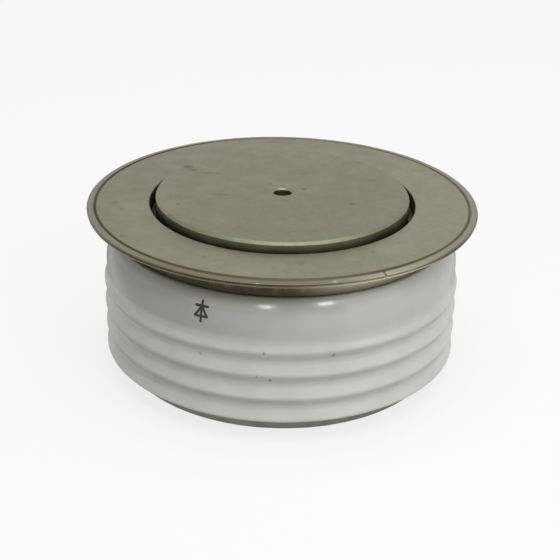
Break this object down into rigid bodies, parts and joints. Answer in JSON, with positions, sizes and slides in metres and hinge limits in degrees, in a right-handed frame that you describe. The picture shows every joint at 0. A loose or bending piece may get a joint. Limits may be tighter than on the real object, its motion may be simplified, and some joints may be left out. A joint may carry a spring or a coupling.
{
  "type": "rectifier diode",
  "caption": "Disc-type press-pack rectifier diode: copper contact faces at both ends of a ribbed, glazed ceramic ring with a wide pressure-welded metal rim.",
  "frame": {"origin": "centre of the anode's contact face, on which the diode stands", "axes": "+Z along the diode's axis from the anode to the cathode; the diode is round about it"},
  "size_m": [0.075, 0.075, 0.035],
  "materials": {
    "plated_copper": "matte nickel plate over copper, lightly mottled",
    "plated_sheet": "matte nickel plate, lightly mottled, brownish in the weld groove",
    "glazed_alumina": "smooth glossy glaze",
    "molybdenum": "lapped, matte",
    "silicon": "metallised, satin",
    "seal_rubber": "soft, satin",
    "silver": "soft satin",
    "white_plastic": "matte"
  },
  "bodies": {
    "root": {"anode_pole": "plated_copper", "anode_ring": "plated_sheet", "ceramic_ring": "glazed_alumina", "weld_ring": "plated_sheet", "lid": "plated_sheet", "cathode_pole": "plated_copper", "anode_disc": "molybdenum", "silicon_wafer": "silicon", "edge_seal": "seal_rubber", "cathode_disc": "molybdenum", "silver_foil": "silver", "centring_ring": "white_plastic"}
  },
  "joints": []
}
